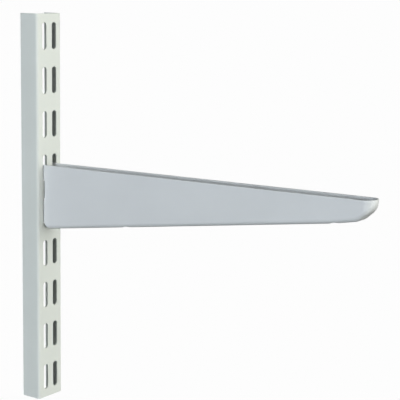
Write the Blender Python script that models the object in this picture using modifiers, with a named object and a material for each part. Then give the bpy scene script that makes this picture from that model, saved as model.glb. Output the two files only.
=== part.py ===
# Slotted shelf bracket: a folded steel arm hooked into a slotted wall upright.
# Metres, +Z up. X runs out from the wall, Y across. The origin lies on the wall plane, on the
# centre plane, level with the arm's top edge where it meets the upright.

import math

import bmesh
import bpy
from mathutils import Matrix, Vector

# Upright: a steel channel, open towards the wall, with two columns of round-ended slots
UPRIGHT_WIDTH = 0.025
UPRIGHT_DEPTH = 0.0160
SIDE_SPLAY = 0.0005
UPRIGHT_SHEET = 0.0015
UPRIGHT_BEND = 0.0020
SLOT_PITCH = 0.032
SLOT_ROWS = 9
SLOT_LENGTH = 0.0194
SLOT_WIDTH = 0.00435
COLUMN_SPACING = 0.0101

# Arm: one folded sheet, deep at the upright and shallow at its round nose
ARM_REACH = 0.270
ARM_SHEET = 0.0015
ARM_NOSE_HEIGHT = 0.0141
ARM_RISE = math.radians(1.5)
FOLD_RADIUS = 0.0032
NOSE_RUN = 0.0104
NOSE_LIP = 0.0054
NOSE_RADIUS = 0.009
KNEE_RADIUS = 0.008
LIFT_RUN = 0.0164
LIFT_HEIGHT = 0.00085

# Hooks: a toothed one in the upper slot and a plain tongue in the slot below it
HOOK_ROW = 3
HOOK_OFFSET = 0.00095
NECK_HEIGHT = 0.01096
HOOK_THROAT = 0.0045
TOOTH_DROP = 0.0050
TONGUE_PLAY = 0.00115
HOOK_CORNER = 0.0014
REAR_RELIEF = 0.0007
HEEL_RUN = 0.0040
HEEL_DROP = 0.00523

# Two driver holes in the arm's floor, one placed from the upright's face, one from the tip
HOLE_DIAMETER = 0.0112
REAR_HOLE_REACH = 0.0770
FRONT_HOLE_SETBACK = 0.0268

# Gap between the two painted pieces, how far a cutter runs past what it cuts, and the
# distance under which two points are one
CLEARANCE = 0.0003
MARGIN = 0.004
WELD = 1e-6

BEND_SEGMENTS = 5
NOSE_SEGMENTS = 7
KNEE_SEGMENTS = 3
SLOT_SEGMENTS = 16
HOLE_SEGMENTS = 24


def clear_scene():
    for obj in list(bpy.data.objects):
        bpy.data.objects.remove(obj, do_unlink=True)


def new_collection(name):
    collection = bpy.data.collections.new(name)
    bpy.context.scene.collection.children.link(collection)
    return collection


def paint(name, colour, roughness):
    material = bpy.data.materials.new(name)
    material.use_nodes = True
    shader = material.node_tree.nodes["Principled BSDF"]
    shader.inputs["Base Color"].default_value = (*colour, 1.0)
    shader.inputs["Roughness"].default_value = roughness
    shader.inputs["Metallic"].default_value = 0.0
    return material


def object_from_bmesh(name, bm, collection):
    mesh = bpy.data.meshes.new(name)
    bm.to_mesh(mesh)
    bm.free()
    obj = bpy.data.objects.new(name, mesh)
    collection.objects.link(obj)
    return obj


def cut(target, cutter):
    cutter.hide_render = True
    cutter.display_type = "WIRE"
    modifier = target.modifiers.new(cutter.name, "BOOLEAN")
    modifier.operation = "DIFFERENCE"
    modifier.solver = "EXACT"
    modifier.object = cutter


def thicken(obj, thickness):
    modifier = obj.modifiers.new("sheet", "SOLIDIFY")
    modifier.thickness = thickness
    modifier.offset = -1.0
    modifier.use_even_offset = True
    modifier.use_quality_normals = True


# Slot places, worked out from the arm's top edge at z = 0

def slot_end_gap(offset):
    """How far a slot's round end has closed in at a distance from its centre line."""
    radius = SLOT_WIDTH / 2
    return radius - math.sqrt(radius ** 2 - offset ** 2)


def slot_bottom(row):
    hook_slot_bottom = -NECK_HEIGHT - CLEARANCE - slot_end_gap(HOOK_OFFSET + ARM_SHEET / 2)
    return hook_slot_bottom + (HOOK_ROW - row) * SLOT_PITCH


def slot_centre(row):
    return slot_bottom(row) + SLOT_LENGTH / 2


def tongue_span():
    bottom = slot_bottom(HOOK_ROW + 1)
    return bottom + TONGUE_PLAY, bottom + SLOT_LENGTH - TONGUE_PLAY


def upright_top():
    return slot_centre(0) + SLOT_PITCH / 2


# The arm's outline in side view, as heights over a distance from the upright's face

def top_height(reach):
    return math.tan(ARM_RISE) * reach


def knee():
    """Where the floor would meet the nose's slope if the bend there were sharp."""
    reach = ARM_REACH - NOSE_RUN
    return reach, top_height(reach) - ARM_NOSE_HEIGHT


def nose_slope():
    """From the knee up to the lower corner of the tip, which hangs a lip's depth below the rim."""
    reach, height = knee()
    return math.atan2(top_height(ARM_REACH) - NOSE_LIP - height, ARM_REACH - reach)


def rear_floor():
    """The floor's height at the upright's face, a heel's depth below the lower hook."""
    return tongue_span()[0] - HEEL_DROP


def floor_angle():
    reach, height = knee()
    return math.atan2(height - LIFT_HEIGHT - rear_floor(), reach)


def lift_start():
    """Where the floor turns a little steeper for its last stretch before the nose."""
    reach = knee()[0] - LIFT_RUN
    return reach, rear_floor() + math.tan(floor_angle()) * reach


def lift_angle():
    return math.atan2(knee()[1] - lift_start()[1], LIFT_RUN)


def knee_tangents():
    reach = knee()[0]
    length = KNEE_RADIUS * math.tan((nose_slope() - lift_angle()) / 2)
    return reach - length * math.cos(lift_angle()), reach + length * math.cos(nose_slope())


def floor_height(reach):
    lift_reach, lift_floor = lift_start()
    if reach <= lift_reach:
        return lift_floor + math.tan(floor_angle()) * (reach - lift_reach)
    knee_reach, knee_floor = knee()
    start, end = knee_tangents()
    if reach <= start:
        return lift_floor + math.tan(lift_angle()) * (reach - lift_reach)
    if reach >= end:
        return knee_floor + math.tan(nose_slope()) * (reach - knee_reach)
    centre_reach = start - KNEE_RADIUS * math.sin(lift_angle())
    centre_height = floor_height(start) + KNEE_RADIUS * math.cos(lift_angle())
    return centre_height - math.sqrt(KNEE_RADIUS ** 2 - (reach - centre_reach) ** 2)


# The arm's sheet: ribs that run from the rim down the wall, round the fold and over the floor

def arm_half_width():
    return COLUMN_SPACING / 2 + HOOK_OFFSET + ARM_SHEET / 2


def nose_centre():
    return ARM_REACH - arm_half_width()


def rib(reach, angle):
    """One rib of the near half. The angle is 0 on the straight sides and a quarter turn at the tip."""
    half = arm_half_width()
    outward = Vector((math.sin(angle), -math.cos(angle), 0.0))
    foot = Vector((reach, 0.0, 0.0)) + outward * half
    slope = math.atan(math.tan(nose_slope()) * math.sin(angle))
    radius = FOLD_RADIUS + (NOSE_RADIUS - FOLD_RADIUS) * math.sin(angle) ** 2
    turn = math.pi / 2 - slope
    spring = floor_height(foot.x) + radius * math.tan(turn / 2)
    points = [Vector((foot.x, foot.y, top_height(foot.x)))]
    for step in range(BEND_SEGMENTS + 1):
        swept = turn * step / BEND_SEGMENTS
        inset = outward * (radius * (1.0 - math.cos(swept)))
        points.append(Vector((foot.x, foot.y, spring - radius * math.sin(swept))) - inset)
    middle = points[-1].copy()
    middle.y = 0.0
    points.append(middle)
    return [point + Vector((UPRIGHT_DEPTH, 0.0, 0.0)) for point in points]


def rib_stations():
    start, end = knee_tangents()
    stations = [(hook_back() - MARGIN / 2, 0.0), (lift_start()[0], 0.0)]
    for step in range(KNEE_SEGMENTS + 1):
        stations.append((start + (end - start) * step / KNEE_SEGMENTS, 0.0))
    for step in range(NOSE_SEGMENTS + 1):
        stations.append((nose_centre(), math.pi / 2 * step / NOSE_SEGMENTS))
    return stations


def build_arm_sheet(collection):
    bm = bmesh.new()
    ribs = []
    for reach, angle in rib_stations():
        ribs.append([bm.verts.new(point) for point in rib(reach, angle)])
    for near, far in zip(ribs, ribs[1:]):
        for k in range(len(near) - 1):
            bm.faces.new((near[k], near[k + 1], far[k + 1], far[k]))
    bmesh.ops.remove_doubles(bm, verts=bm.verts, dist=WELD)
    arm = object_from_bmesh("bracket_arm", bm, collection)
    mirror = arm.modifiers.new("far_half", "MIRROR")
    mirror.use_axis = (False, True, False)
    mirror.merge_threshold = WELD
    thicken(arm, ARM_SHEET)
    return arm


# The rear edge with its hooks, cut out of the sheet by one outline through both walls

def tooth_front():
    return -UPRIGHT_SHEET - CLEARANCE


def hook_back():
    return tooth_front() - HOOK_THROAT


def rear_outline():
    """The rear edge from above the top to below the floor, then round behind the hooks."""
    back = hook_back()
    corner = HOOK_CORNER
    tooth_tip = -NECK_HEIGHT - TOOTH_DROP
    tongue_low, tongue_high = tongue_span()
    heel = Vector((HEEL_RUN, floor_height(HEEL_RUN)))
    heel_start = Vector((CLEARANCE, tongue_low))
    heel_end = heel + (heel - heel_start).normalized() * MARGIN
    above = top_height(back) + MARGIN
    behind = back - MARGIN
    return [
        (back + corner, above),
        (back + corner, top_height(back + corner)),
        (back, top_height(back + corner) - corner),
        (back, tooth_tip + corner),
        (back + corner, tooth_tip),
        (tooth_front() - corner, tooth_tip),
        (tooth_front(), tooth_tip + corner),
        (tooth_front(), -NECK_HEIGHT),
        (CLEARANCE, -NECK_HEIGHT),
        (CLEARANCE + REAR_RELIEF, -NECK_HEIGHT - REAR_RELIEF),
        (CLEARANCE + REAR_RELIEF, tongue_high + REAR_RELIEF),
        (CLEARANCE, tongue_high),
        (back + corner, tongue_high),
        (back, tongue_high - corner),
        (back, tongue_low + corner),
        (back + corner, tongue_low),
        (heel_start.x, heel_start.y),
        (heel_end.x, heel_end.y),
        (behind, heel_end.y),
        (behind, above),
    ]


def outline_cutter(name, outline, span, collection):
    """A flat outline in the XZ plane, given thickness along Y and made a mesh."""
    curve = bpy.data.curves.new(name, "CURVE")
    curve.dimensions = "2D"
    curve.fill_mode = "BOTH"
    curve.extrude = span / 2
    spline = curve.splines.new("POLY")
    spline.points.add(len(outline) - 1)
    spline.use_cyclic_u = True
    for point, (reach, height) in zip(spline.points, outline):
        point.co = (UPRIGHT_DEPTH + reach, height, 0.0, 1.0)
    drawn = bpy.data.objects.new(name + "_outline", curve)
    drawn.rotation_euler = (math.pi / 2, 0.0, 0.0)
    collection.objects.link(drawn)
    bpy.context.view_layer.update()
    depsgraph = bpy.context.evaluated_depsgraph_get()
    mesh = bpy.data.meshes.new_from_object(drawn.evaluated_get(depsgraph))
    bm = bmesh.new()
    bm.from_mesh(mesh)
    bmesh.ops.remove_doubles(bm, verts=bm.verts, dist=WELD)
    bmesh.ops.recalc_face_normals(bm, faces=bm.faces)
    bm.to_mesh(mesh)
    bm.free()
    cutter = bpy.data.objects.new(name, mesh)
    cutter.matrix_world = drawn.matrix_world
    collection.objects.link(cutter)
    bpy.data.objects.remove(drawn, do_unlink=True)
    return cutter


def driver_hole_cutter(name, reach, collection):
    """A round punch, square to the sloping floor, that stops where the floor's folds end."""
    above = FOLD_RADIUS
    bm = bmesh.new()
    bmesh.ops.create_cone(
        bm,
        cap_ends=True,
        segments=HOLE_SEGMENTS,
        radius1=HOLE_DIAMETER / 2,
        radius2=HOLE_DIAMETER / 2,
        depth=above + MARGIN,
    )
    bmesh.ops.translate(bm, verts=bm.verts, vec=(0.0, 0.0, (above - MARGIN) / 2))
    cutter = object_from_bmesh(name, bm, collection)
    cutter.location = (UPRIGHT_DEPTH + reach, 0.0, floor_height(reach))
    cutter.rotation_euler = (0.0, -floor_angle(), 0.0)
    return cutter


def build_arm(parts, cutters):
    arm = build_arm_sheet(parts)
    span = 2 * arm_half_width() + 2 * MARGIN
    cut(arm, outline_cutter("rear_profile", rear_outline(), span, cutters))
    cut(arm, driver_hole_cutter("rear_driver_hole", REAR_HOLE_REACH, cutters))
    cut(arm, driver_hole_cutter("front_driver_hole", ARM_REACH - FRONT_HOLE_SETBACK, cutters))
    return arm


# The upright

def build_channel(collection):
    """The outer skin of the channel, bent at its two front corners and thickened inwards."""
    half = UPRIGHT_WIDTH / 2
    base = upright_top() - SLOT_ROWS * SLOT_PITCH
    behind = -MARGIN
    spread = half + SIDE_SPLAY * (UPRIGHT_DEPTH - behind) / UPRIGHT_DEPTH
    bm = bmesh.new()
    corners = [(behind, -spread), (UPRIGHT_DEPTH, -half), (UPRIGHT_DEPTH, half), (behind, spread)]
    verts = [bm.verts.new((x, y, base)) for x, y in corners]
    edges = [bm.edges.new(pair) for pair in zip(verts, verts[1:])]
    raised = bmesh.ops.extrude_edge_only(bm, edges=edges)["geom"]
    moved = [item for item in raised if isinstance(item, bmesh.types.BMVert)]
    bmesh.ops.translate(bm, verts=moved, vec=(0.0, 0.0, SLOT_ROWS * SLOT_PITCH))
    bends = [edge for edge in bm.edges if len(edge.link_faces) == 2]
    bmesh.ops.bevel(
        bm,
        geom=bends,
        offset=UPRIGHT_BEND,
        segments=BEND_SEGMENTS,
        profile=0.5,
        affect="EDGES",
    )
    bm.normal_update()
    front = max(bm.faces, key=lambda face: face.calc_center_median().x)
    if front.normal.x < 0.0:
        bmesh.ops.reverse_faces(bm, faces=bm.faces)
    channel = object_from_bmesh("slotted_upright", bm, collection)
    thicken(channel, UPRIGHT_SHEET)
    return channel


def slot_punch(collection):
    """Round punches drawn out to the slot's length, one for each slot of both columns."""
    flat_radius = SLOT_WIDTH / 2
    corner_radius = flat_radius / math.cos(math.pi / SLOT_SEGMENTS)
    bm = bmesh.new()
    for row in range(SLOT_ROWS):
        for side in (-1, 1):
            centre = Vector((UPRIGHT_DEPTH, side * COLUMN_SPACING / 2, slot_centre(row)))
            place = Matrix.Translation(centre) @ Matrix.Rotation(math.pi / 2, 4, "Y")
            turned = place @ Matrix.Rotation(math.pi / SLOT_SEGMENTS, 4, "Z")
            punch = bmesh.ops.create_cone(
                bm,
                cap_ends=True,
                segments=SLOT_SEGMENTS,
                radius1=corner_radius,
                radius2=corner_radius,
                depth=2 * (UPRIGHT_SHEET + MARGIN),
                matrix=turned,
            )["verts"]
            for vert in punch:
                drawn = SLOT_LENGTH / 2 - flat_radius
                vert.co.z += math.copysign(drawn, vert.co.z - centre.z)
    return object_from_bmesh("slot_punch", bm, collection)


def wall_trim(collection):
    """A block behind the wall plane, which leaves the sides' rear edges flat against the wall."""
    bm = bmesh.new()
    bmesh.ops.create_cube(bm, size=1.0)
    depth = 2 * MARGIN
    width = 2 * UPRIGHT_WIDTH
    height = SLOT_ROWS * SLOT_PITCH + 2 * MARGIN
    bmesh.ops.scale(bm, verts=bm.verts, vec=(depth, width, height))
    middle = upright_top() - SLOT_ROWS * SLOT_PITCH / 2
    bmesh.ops.translate(bm, verts=bm.verts, vec=(-depth / 2, 0.0, middle))
    return object_from_bmesh("wall_trim", bm, collection)


def build_upright(parts, cutters):
    channel = build_channel(parts)
    cut(channel, slot_punch(cutters))
    cut(channel, wall_trim(cutters))
    return channel


def main():
    clear_scene()
    parts = new_collection("slotted_shelf_bracket")
    cutters = new_collection("cutters")
    upright = build_upright(parts, cutters)
    upright.data.materials.append(paint("upright_powder_coat", (0.68, 0.71, 0.67), 0.45))
    arm = build_arm(parts, cutters)
    arm.data.materials.append(paint("arm_powder_coat", (0.60, 0.63, 0.65), 0.45))


main()
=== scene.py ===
# The looks of a slotted shelf bracket: a folded arm hooked into a slotted wall upright.
# The dictionaries hold millimetres and degrees. Meshes are in metres, in the CAD's frame.
import math

import bmesh
import bpy
from mathutils import Matrix, Vector


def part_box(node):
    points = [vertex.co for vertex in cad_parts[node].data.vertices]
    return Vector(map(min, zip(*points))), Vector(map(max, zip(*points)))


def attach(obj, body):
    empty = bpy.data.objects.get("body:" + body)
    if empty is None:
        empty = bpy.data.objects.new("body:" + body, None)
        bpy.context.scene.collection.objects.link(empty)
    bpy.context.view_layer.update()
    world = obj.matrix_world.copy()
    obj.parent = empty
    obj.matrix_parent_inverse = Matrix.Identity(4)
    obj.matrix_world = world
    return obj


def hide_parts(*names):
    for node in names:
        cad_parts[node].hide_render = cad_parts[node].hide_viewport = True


mm = 0.001
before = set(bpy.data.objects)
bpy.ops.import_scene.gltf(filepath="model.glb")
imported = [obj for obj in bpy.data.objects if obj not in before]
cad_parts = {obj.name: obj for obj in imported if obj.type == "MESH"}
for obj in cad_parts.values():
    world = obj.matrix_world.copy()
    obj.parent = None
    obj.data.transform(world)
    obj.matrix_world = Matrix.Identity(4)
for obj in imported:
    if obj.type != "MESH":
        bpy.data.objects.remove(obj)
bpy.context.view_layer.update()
uprightLow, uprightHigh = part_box("slotted_upright")
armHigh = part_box("bracket_arm")[1]
print("frame loaded")


# Mesh helpers

tolerance = {
    "same": 0.001,  # between points that differ only by rounding
    "skin": 0.002,  # on a wall that has its thickness
    "seam": 0.01,  # where two patches meet
    "span": 0.02,  # where edges are picked by their place
    "sliver": 0.08,  # where the sheet's rows run together at the nose
    "lean": 0.2,  # of the thickened rear edges, off the wall
}


def inOrder(bm):  # extrusion leaves edges and faces in a different order each run
    bm.verts.index_update()
    for items in (bm.edges, bm.faces):
        ordered = sorted(items, key=lambda item: sorted(vert.index for vert in item.verts))
        for place, item in enumerate(ordered):
            item.index = place
        items.sort()


def pieceFromBmesh(name, bm):
    inOrder(bm)
    mesh = bpy.data.meshes.new(name)
    bm.to_mesh(mesh)
    bm.free()
    piece = bpy.data.objects.new(name, mesh)
    bpy.context.scene.collection.objects.link(piece)
    return piece


def only(kind, geom):  # the verts or the edges among what an operator returns
    return [item for item in geom if isinstance(item, kind)]


def settle(piece):  # works the modifiers out for good
    depsgraph = bpy.context.evaluated_depsgraph_get()
    mesh = bpy.data.meshes.new_from_object(piece.evaluated_get(depsgraph))
    piece.modifiers.clear()
    piece.data = mesh


def thicken(piece, thickness):  # inwards from the outer skin
    wall = piece.modifiers.new("sheet", "SOLIDIFY")
    wall.thickness = thickness
    wall.offset = -1
    wall.use_even_offset = True
    wall.use_quality_normals = True
    settle(piece)


def faceOutwards(bm, axis, sign):  # the open skin's outermost face that way has to look that way
    bmesh.ops.recalc_face_normals(bm, faces=bm.faces)
    outermost = max(bm.faces, key=lambda f: f.calc_center_median()[axis] * sign)
    if outermost.normal[axis] * sign <= 0:
        bmesh.ops.reverse_faces(bm, faces=bm.faces)


def softenEdges(piece, radius, segments=2, sharp=50):  # the coat rounds every cut edge
    bm = bmesh.new()
    bm.from_mesh(piece.data)
    bmesh.ops.remove_doubles(bm, verts=bm.verts, dist=tolerance["skin"] * mm)
    cutEdges = [e for e in bm.edges if e.is_manifold and e.calc_face_angle() > math.radians(sharp)]
    bmesh.ops.bevel(bm, geom=cutEdges, offset=radius, segments=segments, profile=0.5,
                    affect="EDGES", material=-1, clamp_overlap=False)
    bm.to_mesh(piece.data)
    bm.free()


def smooth(piece, sharp=38):  # broad flats keep their own normals
    for polygon in piece.data.polygons:
        polygon.use_smooth = True
    piece.data.set_sharp_from_angle(angle=math.radians(sharp))
    weighted = piece.modifiers.new("flats stay flat", "WEIGHTED_NORMAL")
    weighted.keep_sharp = True


# Materials

def linear(hexColour):
    channels = [int(hexColour[i:i + 2], 16) / 255 for i in (1, 3, 5)]
    return [c / 12.92 if c <= 0.04045 else ((c + 0.055) / 1.055) ** 2.4 for c in channels] + [1]


def addNode(tree, kind, settings=None, links=None):  # links: input name or number -> output socket
    node = tree.nodes.new("ShaderNode" + kind)
    for name, value in (settings or {}).items():
        if isinstance(name, str) and hasattr(node, name):
            setattr(node, name, value)
        else:
            node.inputs[name].default_value = value
    for name, socket in (links or {}).items():
        tree.links.new(socket, node.inputs[name])
    return node


powderCoat = {
    "blotch": 45,  # mm, how far apart the coat turns a shade lighter or darker
    "orangePeel": 1.6,  # mm between the low swells of a sprayed and baked coat
    "peelHeight": 0.012,
    "grain": 0.45,  # mm, drawn coarser than the real powder so that it shows
    "grainHeight": 0.004,
    "roughness": 0.48,
    "roughnessSpread": 0.06,  # either way, from grain to grain
}


def powderCoatedSteel(name, light, dark):  # polyester powder baked on steel: satin, faintly pebbled
    material = bpy.data.materials.new(name)
    material.use_nodes = True
    tree = material.node_tree
    shader = tree.nodes["Principled BSDF"]
    shader.inputs["Metallic"].default_value = 0
    shader.inputs["IOR"].default_value = 1.5
    place = addNode(tree, "TexCoord").outputs["Object"]
    blotches = addNode(tree, "TexNoise",
                       {"Scale": 1 / (powderCoat["blotch"] * mm), "Detail": 3, "Roughness": 0.5},
                       {"Vector": place})
    shade = addNode(tree, "ValToRGB", links={"Fac": blotches.outputs["Fac"]})
    for stop, position, colour in zip(shade.color_ramp.elements, (0.3, 0.7), (dark, light)):
        stop.position = position
        stop.color = linear(colour)
    tree.links.new(shade.outputs["Color"], shader.inputs["Base Color"])
    grain = addNode(tree, "TexNoise",
                    {"Scale": 1 / (powderCoat["grain"] * mm), "Detail": 2, "Roughness": 0.6},
                    {"Vector": place})
    sheen = addNode(tree, "MapRange",
                    {"To Min": powderCoat["roughness"] - powderCoat["roughnessSpread"],
                     "To Max": powderCoat["roughness"] + powderCoat["roughnessSpread"]},
                    {"Value": grain.outputs["Fac"]})
    tree.links.new(sheen.outputs["Result"], shader.inputs["Roughness"])
    swells = addNode(tree, "TexNoise",
                     {"Scale": 1 / (powderCoat["orangePeel"] * mm), "Detail": 1, "Roughness": 0.4},
                     {"Vector": place})
    peel = addNode(tree, "Bump", {"Strength": 0.2, "Distance": powderCoat["peelHeight"] * mm},
                   {"Height": swells.outputs["Fac"]})
    pebble = addNode(tree, "Bump", {"Strength": 0.1, "Distance": powderCoat["grainHeight"] * mm},
                     {"Height": grain.outputs["Fac"], "Normal": peel.outputs["Normal"]})
    tree.links.new(pebble.outputs["Normal"], shader.inputs["Normal"])
    return material


# The upright: a channel with its open side to the wall

upright = {
    "frontWidth": 25,
    "sheet": 1.5,
    "bendTangent": 2.0,  # where a bend starts, in from the sharp corner
    "bendSteps": 10,
    "rows": 9,
    "slotLength": 19.4,
    "slotWidth": 4.35,
    "columnSpacing": 10.1,
    "slotSegments": 48,
    "edgeRadius": 0.22,
    "light": "#d8dbd8",
    "dark": "#d4d7d4",
}

flatEdge = (upright["frontWidth"] / 2 - upright["bendTangent"]) * mm  # the front is flat this far


def slotCell(bm, side, row):  # a round-ended slot, its rim drawn out to the edge of its own patch
    radius = upright["slotWidth"] / 2 * mm
    straight = upright["slotLength"] / 2 * mm - radius
    pitch = (uprightHigh.z - uprightLow.z) / upright["rows"]
    middle = Vector((uprightHigh.x, side * upright["columnSpacing"] / 2 * mm,
                     uprightHigh.z - pitch * (row + 0.5)))
    segments = upright["slotSegments"]
    turn = Matrix.Rotation(math.pi / 2, 4, "Y") @ Matrix.Rotation(math.pi / segments, 4, "Z")
    ring = bmesh.ops.create_circle(bm, cap_ends=False, segments=segments, radius=radius,
                                   matrix=turn)["verts"]
    for vert in ring:
        vert.co.z += math.copysign(straight, vert.co.z)
    rim = list(dict.fromkeys(edge for vert in ring for edge in vert.link_edges))  # each edge once
    border = only(bmesh.types.BMVert, bmesh.ops.extrude_edge_only(bm, edges=rim)["geom"])
    inner, outer, upDown = abs(middle.y), flatEdge - abs(middle.y), pitch / 2 - straight
    tiny = 1e-9  # keeps the divisions safe
    for vert in border:
        core = Vector((0, 0, math.copysign(straight, vert.co.z)))
        ray = vert.co - core
        sideways = outer if ray.y * side > 0 else inner
        vert.co = core + ray * min(sideways / max(abs(ray.y), tiny), upDown / max(abs(ray.z), tiny))
    for y in (-inner * side, outer * side):
        for z in (-pitch / 2, pitch / 2):
            corner = Vector((0, y, z))
            min(border, key=lambda vert: (vert.co - corner).length).co = corner
    bmesh.ops.translate(bm, verts=ring + border, vec=middle)


def buildUpright():
    bm = bmesh.new()
    for row in range(upright["rows"]):
        slotCell(bm, -1, row)
        slotCell(bm, 1, row)
    bmesh.ops.remove_doubles(bm, verts=bm.verts, dist=tolerance["seam"] * mm)
    splay = math.atan((uprightHigh.y - upright["frontWidth"] / 2 * mm) / uprightHigh.x)
    bend = math.pi / 2 - splay
    radius = upright["bendTangent"] * mm / math.tan(bend / 2)
    for side in (-1, 1):  # each bend is spun from the front's edge, and its wall drawn out of that
        edges = [edge for edge in bm.edges if all(
            abs(vert.co.y - side * flatEdge) < tolerance["seam"] * mm for vert in edge.verts)]
        spun = bmesh.ops.spin(bm, geom=edges, cent=(uprightHigh.x - radius, side * flatEdge, 0),
                              axis=(0, 0, side), angle=bend, steps=upright["bendSteps"])
        swept = only(bmesh.types.BMEdge, spun["geom_last"])
        wall = bmesh.ops.extrude_edge_only(bm, edges=swept)["geom"]
        for vert in only(bmesh.types.BMVert, wall):
            vert.co.x = uprightLow.x
            vert.co.y = side * uprightHigh.y
    bmesh.ops.remove_doubles(bm, verts=bm.verts, dist=tolerance["same"] * mm)
    faceOutwards(bm, 0, 1)
    piece = pieceFromBmesh("slottedUpright", bm)
    thicken(piece, upright["sheet"] * mm)
    for vert in piece.data.vertices:  # the rear edges lie flat on the wall
        if vert.co.x < uprightLow.x + tolerance["lean"] * mm:
            vert.co.x = uprightLow.x
    softenEdges(piece, upright["edgeRadius"] * mm)
    smooth(piece)
    return piece


# The arm: one sheet, folded under and round the nose

arm = {
    "sheet": 1.5,
    "rise": 1.5,  # degrees, of the top edge
    "clearance": 0.3,
    "foldRadius": 3.2,
    "noseHeight": 14.1,  # at the knee, where the floor turns up to the nose
    "noseRun": 10.4,
    "noseLip": 5.4,
    "noseRadius": 9,
    "kneeRadius": 8,
    "liftRun": 16.4,  # the floor turns a little steeper over its last stretch
    "liftHeight": 0.85,
    "floorStations": (0.3, 0.65, 1),  # shares of the way to that stretch
    "foldSteps": 8,
    "kneeSteps": 6,
    "noseSteps": 18,
    "edgeRadius": 0.2,
    "light": "#dcdddf",
    "dark": "#d8d9db",
}

hooks = {
    "neckHeight": 10.96,
    "throat": 4.5,
    "toothDrop": 5.0,
    "tongueTop": -25.83,
    "tongueBottom": -42.93,
    "cornerRadius": 1.4,
    "cornerSegments": 5,
    "relief": 0.7,  # the rear edge stands back a little between the hooks
    "heelRun": 4.0,
    "heelDrop": 5.23,
}

driverHoles = {
    "diameter": 11.2,
    "rearReach": 77,  # from the upright's face
    "frontSetback": 26.8,  # from the tip of the nose
    "segments": 64,
    "punchBelow": 4,  # how far the punch stands out under the floor
}

face = uprightHigh.x  # reaches along the arm are measured from here
armReach = armHigh.x - face
halfWidth = armHigh.y
noseCentre = armReach - halfWidth


def topHeight(reach):
    return math.tan(math.radians(arm["rise"])) * reach


kneeReach = armReach - arm["noseRun"] * mm
kneeHeight = topHeight(kneeReach) - arm["noseHeight"] * mm
noseSlope = math.atan2(topHeight(armReach) - arm["noseLip"] * mm - kneeHeight, armReach - kneeReach)
rearFloor = (hooks["tongueBottom"] - hooks["heelDrop"]) * mm
floorAngle = math.atan2(kneeHeight - arm["liftHeight"] * mm - rearFloor, kneeReach)
liftReach = kneeReach - arm["liftRun"] * mm
liftFloor = rearFloor + math.tan(floorAngle) * liftReach
liftAngle = math.atan2(kneeHeight - liftFloor, kneeReach - liftReach)
kneeTangent = arm["kneeRadius"] * mm * math.tan((noseSlope - liftAngle) / 2)
kneeStart = kneeReach - kneeTangent * math.cos(liftAngle)
kneeEnd = kneeReach + kneeTangent * math.cos(noseSlope)


def floorHeight(reach):  # of the floor's underside
    if reach <= liftReach:
        return liftFloor + math.tan(floorAngle) * (reach - liftReach)
    if reach <= kneeStart:
        return liftFloor + math.tan(liftAngle) * (reach - liftReach)
    if reach >= kneeEnd:
        return kneeHeight + math.tan(noseSlope) * (reach - kneeReach)
    radius = arm["kneeRadius"] * mm
    along = reach - (kneeStart - radius * math.sin(liftAngle))
    centre = floorHeight(kneeStart) + radius * math.cos(liftAngle)
    return centre - math.sqrt(radius ** 2 - along ** 2)


def rearEdge(height):  # its reach: relieved between the hooks, chamfered at the heel
    low = hooks["tongueBottom"] * mm
    heelWidth = (hooks["heelRun"] - arm["clearance"]) * mm
    steep = (low - floorHeight(hooks["heelRun"] * mm)) / heelWidth
    between = min(-hooks["neckHeight"] * mm - height, height - hooks["tongueTop"] * mm)
    relief = min(max(between, 0), hooks["relief"] * mm)
    return arm["clearance"] * mm + relief + max(0, low - height) / steep


def wallLevels():  # how far down the wall each row of the sheet lies: 0 at the rim, 1 at the fold
    reach = hooks["heelRun"] * mm
    top, spring = topHeight(reach), floorHeight(reach) + arm["foldRadius"] * mm
    corners = (-hooks["neckHeight"], -hooks["neckHeight"] - hooks["relief"],
               hooks["tongueTop"] + hooks["relief"], hooks["tongueTop"], hooks["tongueBottom"])
    return [0, *((top - height * mm) / (top - spring) for height in corners), 1]


def foldedPoint(reach, angle, row, rear=False):  # a point of the near half's outer skin
    outward = Vector((math.sin(angle), -math.cos(angle), 0))
    foot = Vector((reach, 0, 0)) + outward * halfWidth
    slope = math.atan(math.tan(noseSlope) * math.sin(angle))
    widening = (arm["noseRadius"] - arm["foldRadius"]) * math.sin(angle) ** 2
    radius = (arm["foldRadius"] + widening) * mm
    turn = math.pi / 2 - slope
    spring = floorHeight(foot.x) + radius * math.tan(turn / 2)
    levels = wallLevels()
    if row < len(levels):  # on the wall
        top = topHeight(foot.x)
        point = Vector((foot.x, foot.y, top + (spring - top) * levels[row]))
    else:  # on the fold, and the last row on the middle line
        swept = turn * min(1, (row - len(levels) + 1) / arm["foldSteps"])
        inset = outward * radius * (1 - math.cos(swept))
        point = Vector((foot.x, foot.y, spring - radius * math.sin(swept))) - inset
        if row == len(levels) + arm["foldSteps"]:
            point.y = 0
    if rear:
        point.x = rearEdge(point.z)
        point.z = topHeight(point.x) if row == 0 else point.z
    return point + Vector((face, 0, 0))


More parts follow.
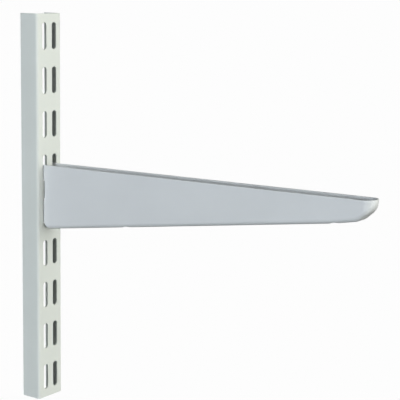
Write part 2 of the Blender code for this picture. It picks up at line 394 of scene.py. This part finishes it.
def growHooks(bm, side):  # each hook is drawn out of the wall's rear edge
    rear = face + arm["clearance"] * mm
    behind = face - (upright["sheet"] + arm["clearance"]) * mm
    end = behind - hooks["throat"] * mm
    neckLow = -hooks["neckHeight"] * mm
    margin = 1 * mm  # puts a limit safely past the rim, or past the neck's lower edge

    def edgesBetween(low, high, axis, where):  # this wall's edges at one x (0) or z (2), in a span
        slack = tolerance["span"] * mm
        found = []
        for edge in bm.edges:
            points = [vert.co for vert in edge.verts]
            onWall = all(p.y * side > halfWidth - tolerance["seam"] * mm for p in points)
            inPlace = all(abs(p[axis] - where) < slack for p in points)
            if onWall and inPlace and all(low - slack < p[2 - axis] < high + slack for p in points):
                found.append(edge)
        return found

    def drawOut(edges, move):
        grown = bmesh.ops.extrude_edge_only(bm, edges=edges)["geom"]
        verts = only(bmesh.types.BMVert, grown)
        for vert in verts:
            vert.co += Vector(move)
        return verts

    root = drawOut(edgesBetween(neckLow, margin, 0, rear), (behind - rear, 0, 0))
    back = drawOut(edgesBetween(neckLow, margin, 0, behind), (-hooks["throat"] * mm, 0, 0))
    for vert in root + back:  # the neck's top runs on along the arm's top edge
        if vert.co.z > neckLow + margin:
            vert.co.z = topHeight(vert.co.x - face)
    tooth = drawOut(edgesBetween(end, behind, 2, neckLow), (0, 0, -hooks["toothDrop"] * mm))
    tongueSpan = hooks["tongueBottom"] * mm, hooks["tongueTop"] * mm
    tongue = drawOut(edgesBetween(*tongueSpan, 0, rear), (end - rear, 0, 0))
    rounded = [vert for vert in back if vert.co.z > neckLow + margin] + tooth + tongue
    bmesh.ops.bevel(bm, geom=rounded, offset=hooks["cornerRadius"] * mm,
                    segments=hooks["cornerSegments"], profile=0.5, affect="VERTICES", material=-1)


def punchHole(piece, reach):
    above, below = arm["foldRadius"] * mm, driverHoles["punchBelow"] * mm
    radius = driverHoles["diameter"] / 2 * mm
    place = (Matrix.Translation((face + reach, 0, floorHeight(reach)))
             @ Matrix.Rotation(-floorAngle, 4, "Y")
             @ Matrix.Translation((0, 0, (above - below) / 2)))
    bm = bmesh.new()
    bmesh.ops.create_cone(bm, cap_ends=True, segments=driverHoles["segments"], radius1=radius,
                          radius2=radius, depth=above + below, matrix=place)
    punch = pieceFromBmesh("punch", bm)
    hole = piece.modifiers.new("hole", "BOOLEAN")
    hole.operation = "DIFFERENCE"
    hole.solver = "EXACT"
    hole.object = punch
    settle(piece)
    bpy.data.objects.remove(punch, do_unlink=True)


def buildArm():
    stations = [(hooks["heelRun"] * mm, 0)]  # each is a reach and a turn round the nose
    for share in arm["floorStations"]:
        stations.append((share * liftReach, 0))
    for step in range(arm["kneeSteps"] + 1):
        stations.append((kneeStart + (kneeEnd - kneeStart) * step / arm["kneeSteps"], 0))
    for step in range(arm["noseSteps"] + 1):
        stations.append((noseCentre, math.pi / 2 * step / arm["noseSteps"]))
    rows = len(wallLevels()) + arm["foldSteps"]
    bm = bmesh.new()
    bmesh.ops.create_grid(bm, x_segments=len(stations) - 1, y_segments=rows, size=1)
    for vert in bm.verts:  # the flat grid is folded into the near half of the arm
        station = round((vert.co.x + 1) / 2 * (len(stations) - 1))
        row = round((vert.co.y + 1) / 2 * rows)
        reach, angle = stations[station]
        vert.co = foldedPoint(reach, angle, row, rear=station == 0)
    bmesh.ops.mirror(bm, geom=bm.verts[:] + bm.edges[:] + bm.faces[:], axis="Y",
                     merge_dist=tolerance["same"] * mm)
    bmesh.ops.remove_doubles(bm, verts=bm.verts, dist=tolerance["sliver"] * mm)
    growHooks(bm, -1)
    growHooks(bm, 1)
    faceOutwards(bm, 1, -1)
    piece = pieceFromBmesh("bracketArm", bm)
    thicken(piece, arm["sheet"] * mm)
    softenEdges(piece, arm["edgeRadius"] * mm)
    punchHole(piece, driverHoles["rearReach"] * mm)
    punchHole(piece, armReach - driverHoles["frontSetback"] * mm)
    smooth(piece)
    return piece


uprightPiece = buildUpright()
uprightPiece.data.materials.append(
    powderCoatedSteel("pale grey powder coat", upright["light"], upright["dark"]))
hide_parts("slotted_upright")
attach(uprightPiece, "root")
print("upright built:", len(uprightPiece.data.polygons), "faces")

armPiece = buildArm()
armPiece.data.materials.append(
    powderCoatedSteel("cool grey powder coat", arm["light"], arm["dark"]))
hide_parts("bracket_arm")
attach(armPiece, "root")
print("arm built:", len(armPiece.data.polygons), "faces")


# The studio: a white floor and background, lit by soft bright patches in the surroundings

studio = {
    "floorDrop": 700,  # mm from the upright's lower end to the floor
    "floorHalf": 4000,
    "white": "#fdfdfd",  # what the camera sees around the object
    "board": "#626464",  # what the floor throws back at the object
    "boardRoughness": 0.9,
}

lights = {
    # name: (azimuth, elevation, cosine of the angle off its centre where it starts,
    #        and where it is full, strength, colour)
    "room": (60, 0, -0.45, 0.25, 0.12, "#f4f8ff"),
    "key": (103, 12, 0.70, 0.88, 3.2, "#fbfdf5"),
    "fill": (-4, 6, 0.975, 0.99, 20.2, "#ebf3f8"),
    "back": (226, -14, 0.93, 0.99, 7.2, "#f6f9fb"),
    "top": (90, 88, 0.96, 0.99, 0.7, "#bfe0ee"),
}


def direction(azimuth, elevation):  # from the object towards a light or the camera
    a, e = math.radians(azimuth), math.radians(elevation)
    return math.sin(a) * math.cos(e), -math.cos(a) * math.cos(e), math.sin(e)


def whiteToCamera(tree, kind, dim):  # the camera sees plain white, and the object the dim shader
    path = addNode(tree, "LightPath")
    white = addNode(tree, kind, {"Color": linear(studio["white"]), "Strength": 1.0})
    return addNode(tree, "MixShader", links={0: path.outputs["Is Camera Ray"], 1: dim.outputs[0],
                                             2: white.outputs[0]})


def buildStudio():
    world = bpy.data.worlds.new("studio")
    world.use_nodes = True
    bpy.context.scene.world = world
    tree = world.node_tree
    towards = addNode(tree, "TexCoord").outputs["Generated"]
    glows = []
    for azimuth, elevation, start, full, strength, colour in lights.values():
        offCentre = addNode(tree, "VectorMath",
                            {"operation": "DOT_PRODUCT", 1: direction(azimuth, elevation)},
                            {0: towards})
        faded = addNode(tree, "MapRange",
                        {"interpolation_type": "SMOOTHSTEP", "From Min": start, "From Max": full,
                         "To Max": strength}, {"Value": offCentre.outputs["Value"]})
        glows.append(addNode(tree, "Background", {"Color": linear(colour)},
                             {"Strength": faded.outputs["Result"]}))
    dim = glows[0]
    for glow in glows[1:]:
        dim = addNode(tree, "AddShader", links={0: dim.outputs[0], 1: glow.outputs[0]})
    seen = whiteToCamera(tree, "Background", dim)
    tree.links.new(seen.outputs[0], tree.nodes["World Output"].inputs["Surface"])

    bm = bmesh.new()
    bmesh.ops.create_grid(bm, x_segments=1, y_segments=1, size=studio["floorHalf"] * mm)
    bmesh.ops.translate(bm, verts=bm.verts, vec=(0, 0, uprightLow.z - studio["floorDrop"] * mm))
    floor = pieceFromBmesh("floor", bm)
    board = bpy.data.materials.new("matt painted board")  # flat paint, with no shine of its own
    board.use_nodes = True
    tree = board.node_tree
    dim = tree.nodes["Principled BSDF"]
    dim.inputs["Base Color"].default_value = linear(studio["board"])
    dim.inputs["Roughness"].default_value = studio["boardRoughness"]
    seen = whiteToCamera(tree, "Emission", dim)
    tree.links.new(seen.outputs[0], tree.nodes["Material Output"].inputs["Surface"])
    floor.data.materials.append(board)


# The camera: the photograph's view, solved from the slots and the arm's outlines

view = {
    "azimuth": 35.887,
    "elevation": 10.640,
    "roll": 1.093,
    "distance": 887.505,
    "right": 110.703,  # from the arm's root to the middle of the picture
    "down": 21.171,
    "root": (0, 0, -5.45),  # the picture's own reference point, from the upright's face
    "focal": 108.395,
    "sensor": 36,
    "nearest": 10,  # what is closer to the camera isn't drawn
}


def buildCamera():
    azimuth = math.radians(view["azimuth"])
    back = Vector(direction(view["azimuth"], view["elevation"]))
    level = Vector((math.cos(azimuth), math.sin(azimuth), 0))
    right = Matrix.Rotation(math.radians(view["roll"]), 3, back) @ level
    up = back.cross(right)
    root = Vector((face, 0, 0)) + Vector(view["root"]) * mm
    place = root + (right * view["right"] - up * view["down"] + back * view["distance"]) * mm
    data = bpy.data.cameras.new("camera")
    data.sensor_width = view["sensor"]
    data.lens = view["focal"]
    data.clip_start = view["nearest"] * mm
    camera = bpy.data.objects.new("camera", data)
    turned = Matrix((right, up, back)).transposed().to_4x4()
    camera.matrix_world = Matrix.Translation(place) @ turned
    bpy.context.scene.collection.objects.link(camera)
    bpy.context.scene.camera = camera


buildStudio()
buildCamera()
bpy.context.scene.view_settings.view_transform = "Standard"
print("studio and camera set")
